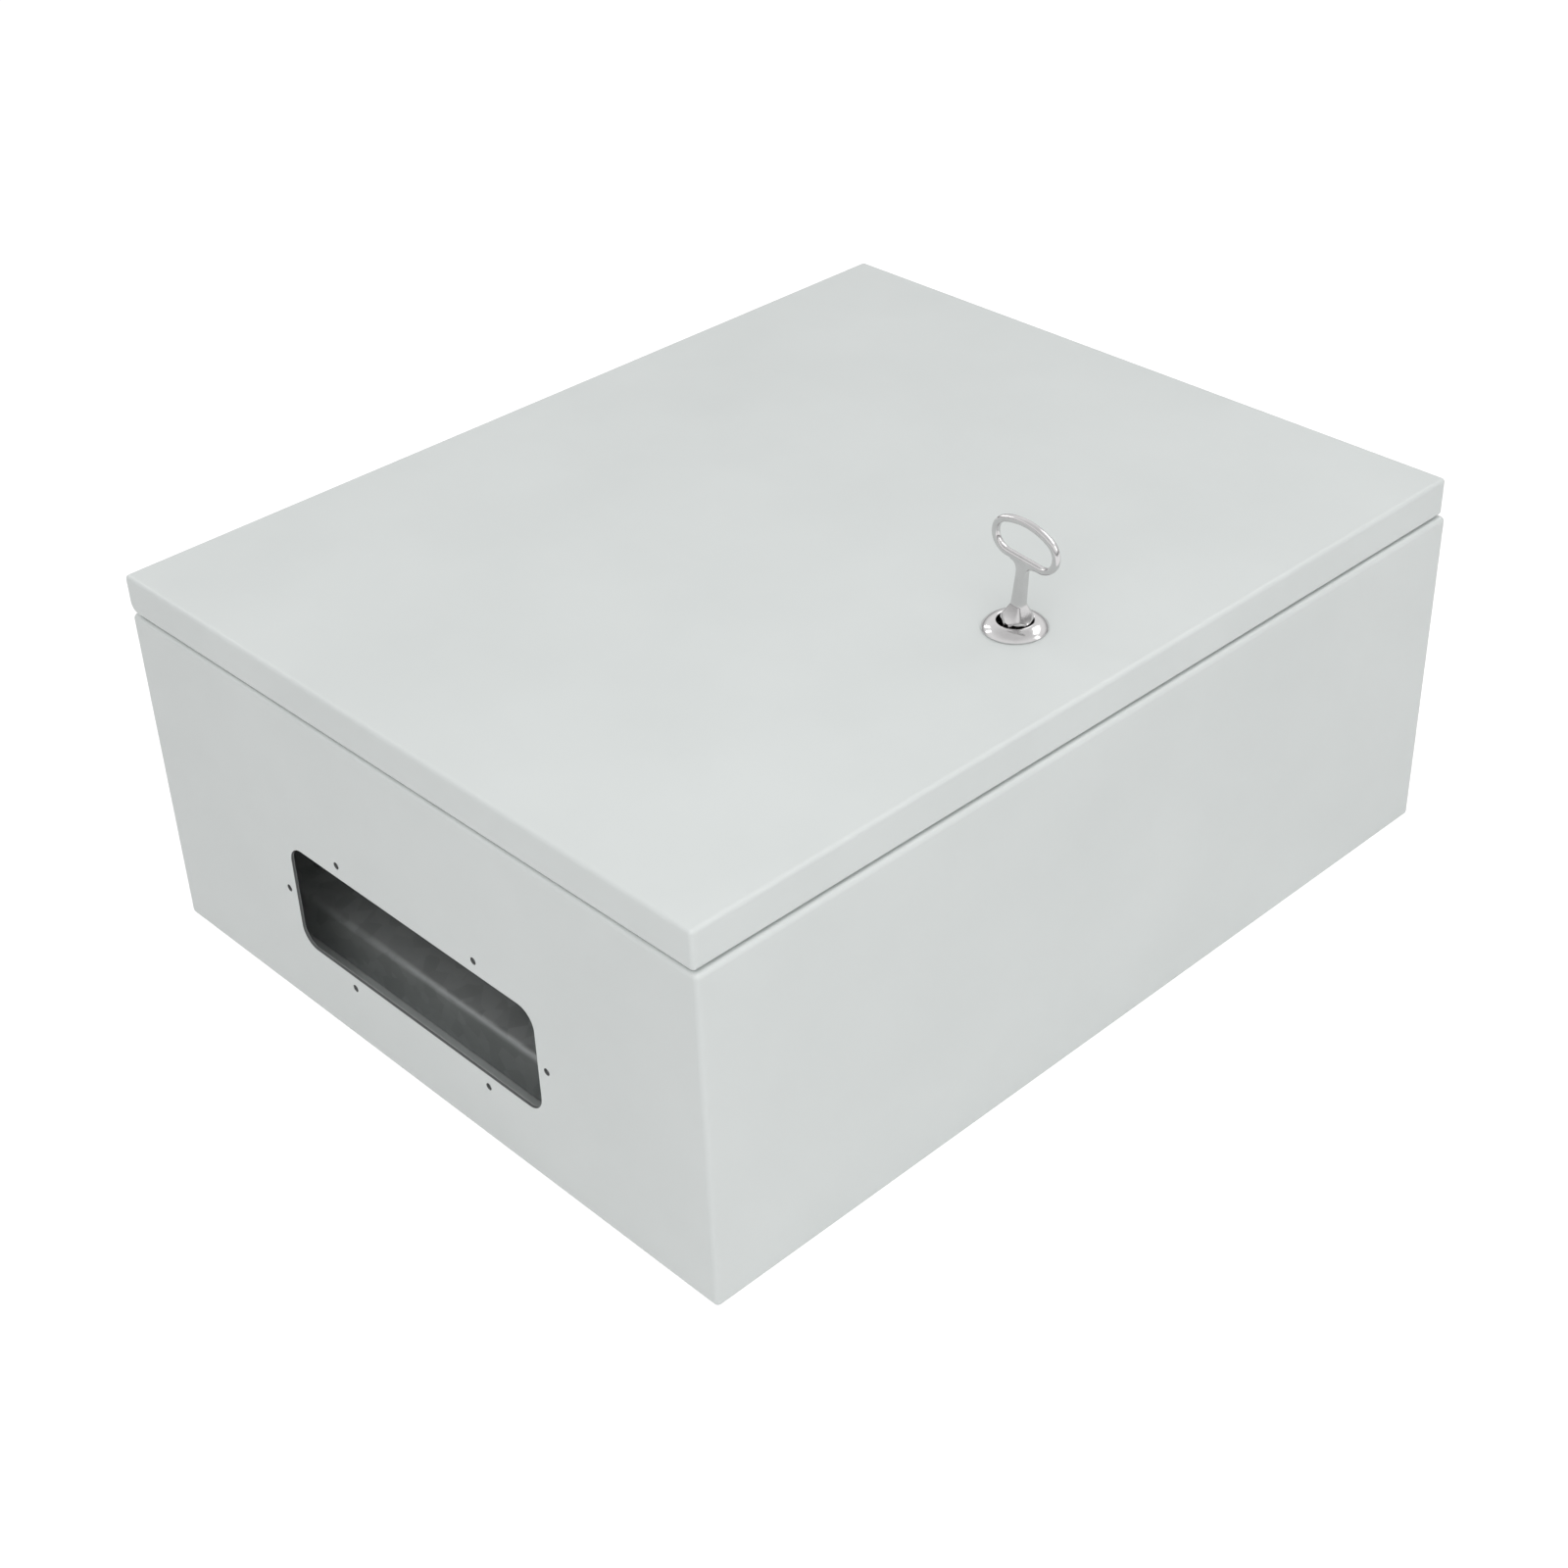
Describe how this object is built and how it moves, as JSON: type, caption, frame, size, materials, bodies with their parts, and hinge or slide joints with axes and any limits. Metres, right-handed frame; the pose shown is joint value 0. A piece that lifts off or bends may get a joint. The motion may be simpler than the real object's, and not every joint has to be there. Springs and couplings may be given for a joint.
{
  "type": "steel wall enclosure",
  "caption": "Folded steel wall enclosure with a hinged door, a quarter-turn key lock, an inner mounting plate and a cable opening in the lower wall.",
  "frame": {"origin": "centre of the back face, which lies against the wall", "axes": "+X to the lock side, +Y up the wall and away from the cable opening, +Z out of the wall through the door"},
  "size_m": [0.4, 0.5, 0.2583],
  "materials": {
    "powder_coat": "light grey satin powder coat",
    "galvanised_sheet": "galvanised sheet",
    "zinc_plated": "bright zinc plate",
    "stud_steel": "coppered weld stud",
    "pin_steel": "ground steel",
    "lock_casting": "plated zinc casting",
    "bright_plating": "bright plated zinc casting",
    "gasket_foam": "foamed polyurethane",
    "seal_rubber": "moulded rubber"
  },
  "bodies": {
    "cabinet": {"body_shell": "powder_coat", "mounting_plate": "galvanised_sheet", "plate_studs": "stud_steel", "plate_spacers": "zinc_plated", "plate_washers": "zinc_plated", "plate_nuts": "zinc_plated", "body_earth_stud": "stud_steel", "body_earth_washer": "zinc_plated", "body_earth_nut": "zinc_plated", "hinge_bracket_lower": "zinc_plated", "hinge_bracket_upper": "zinc_plated", "hinge_screws": "zinc_plated"},
    "door": {"door_panel": "powder_coat", "door_gasket": "gasket_foam", "hinge_clevis_lower": "zinc_plated", "hinge_clevis_upper": "zinc_plated", "hinge_pin_lower": "pin_steel", "hinge_pin_upper": "pin_steel", "lock_housing": "bright_plating", "lock_seal": "seal_rubber", "lock_washer": "zinc_plated", "lock_nut": "zinc_plated", "door_earth_stud": "stud_steel", "door_earth_washer": "zinc_plated", "door_earth_nut": "zinc_plated"},
    "lock_core": {"lock_spindle": "lock_casting", "lock_cam": "zinc_plated", "cam_washer": "zinc_plated", "cam_screw": "zinc_plated"},
    "key": {"key": "bright_plating"}
  },
  "joints": [
    {"name": "door_swing", "type": "hinge", "parent": "cabinet", "child": "door", "pos_m": [-0.1934, 0, 0.19], "axis": [0, -1, 0], "range_deg": [0, 120]},
    {"name": "lock_turn", "type": "hinge", "parent": "door", "child": "lock_core", "pos_m": [0.139, 0, 0.2], "axis": [0, 0, 1], "range_deg": [-90, 0]},
    {"name": "key_pull", "type": "slide", "parent": "lock_core", "child": "key", "axis": [0, 0, 1], "range_m": [0, 0.04]}
  ]
}
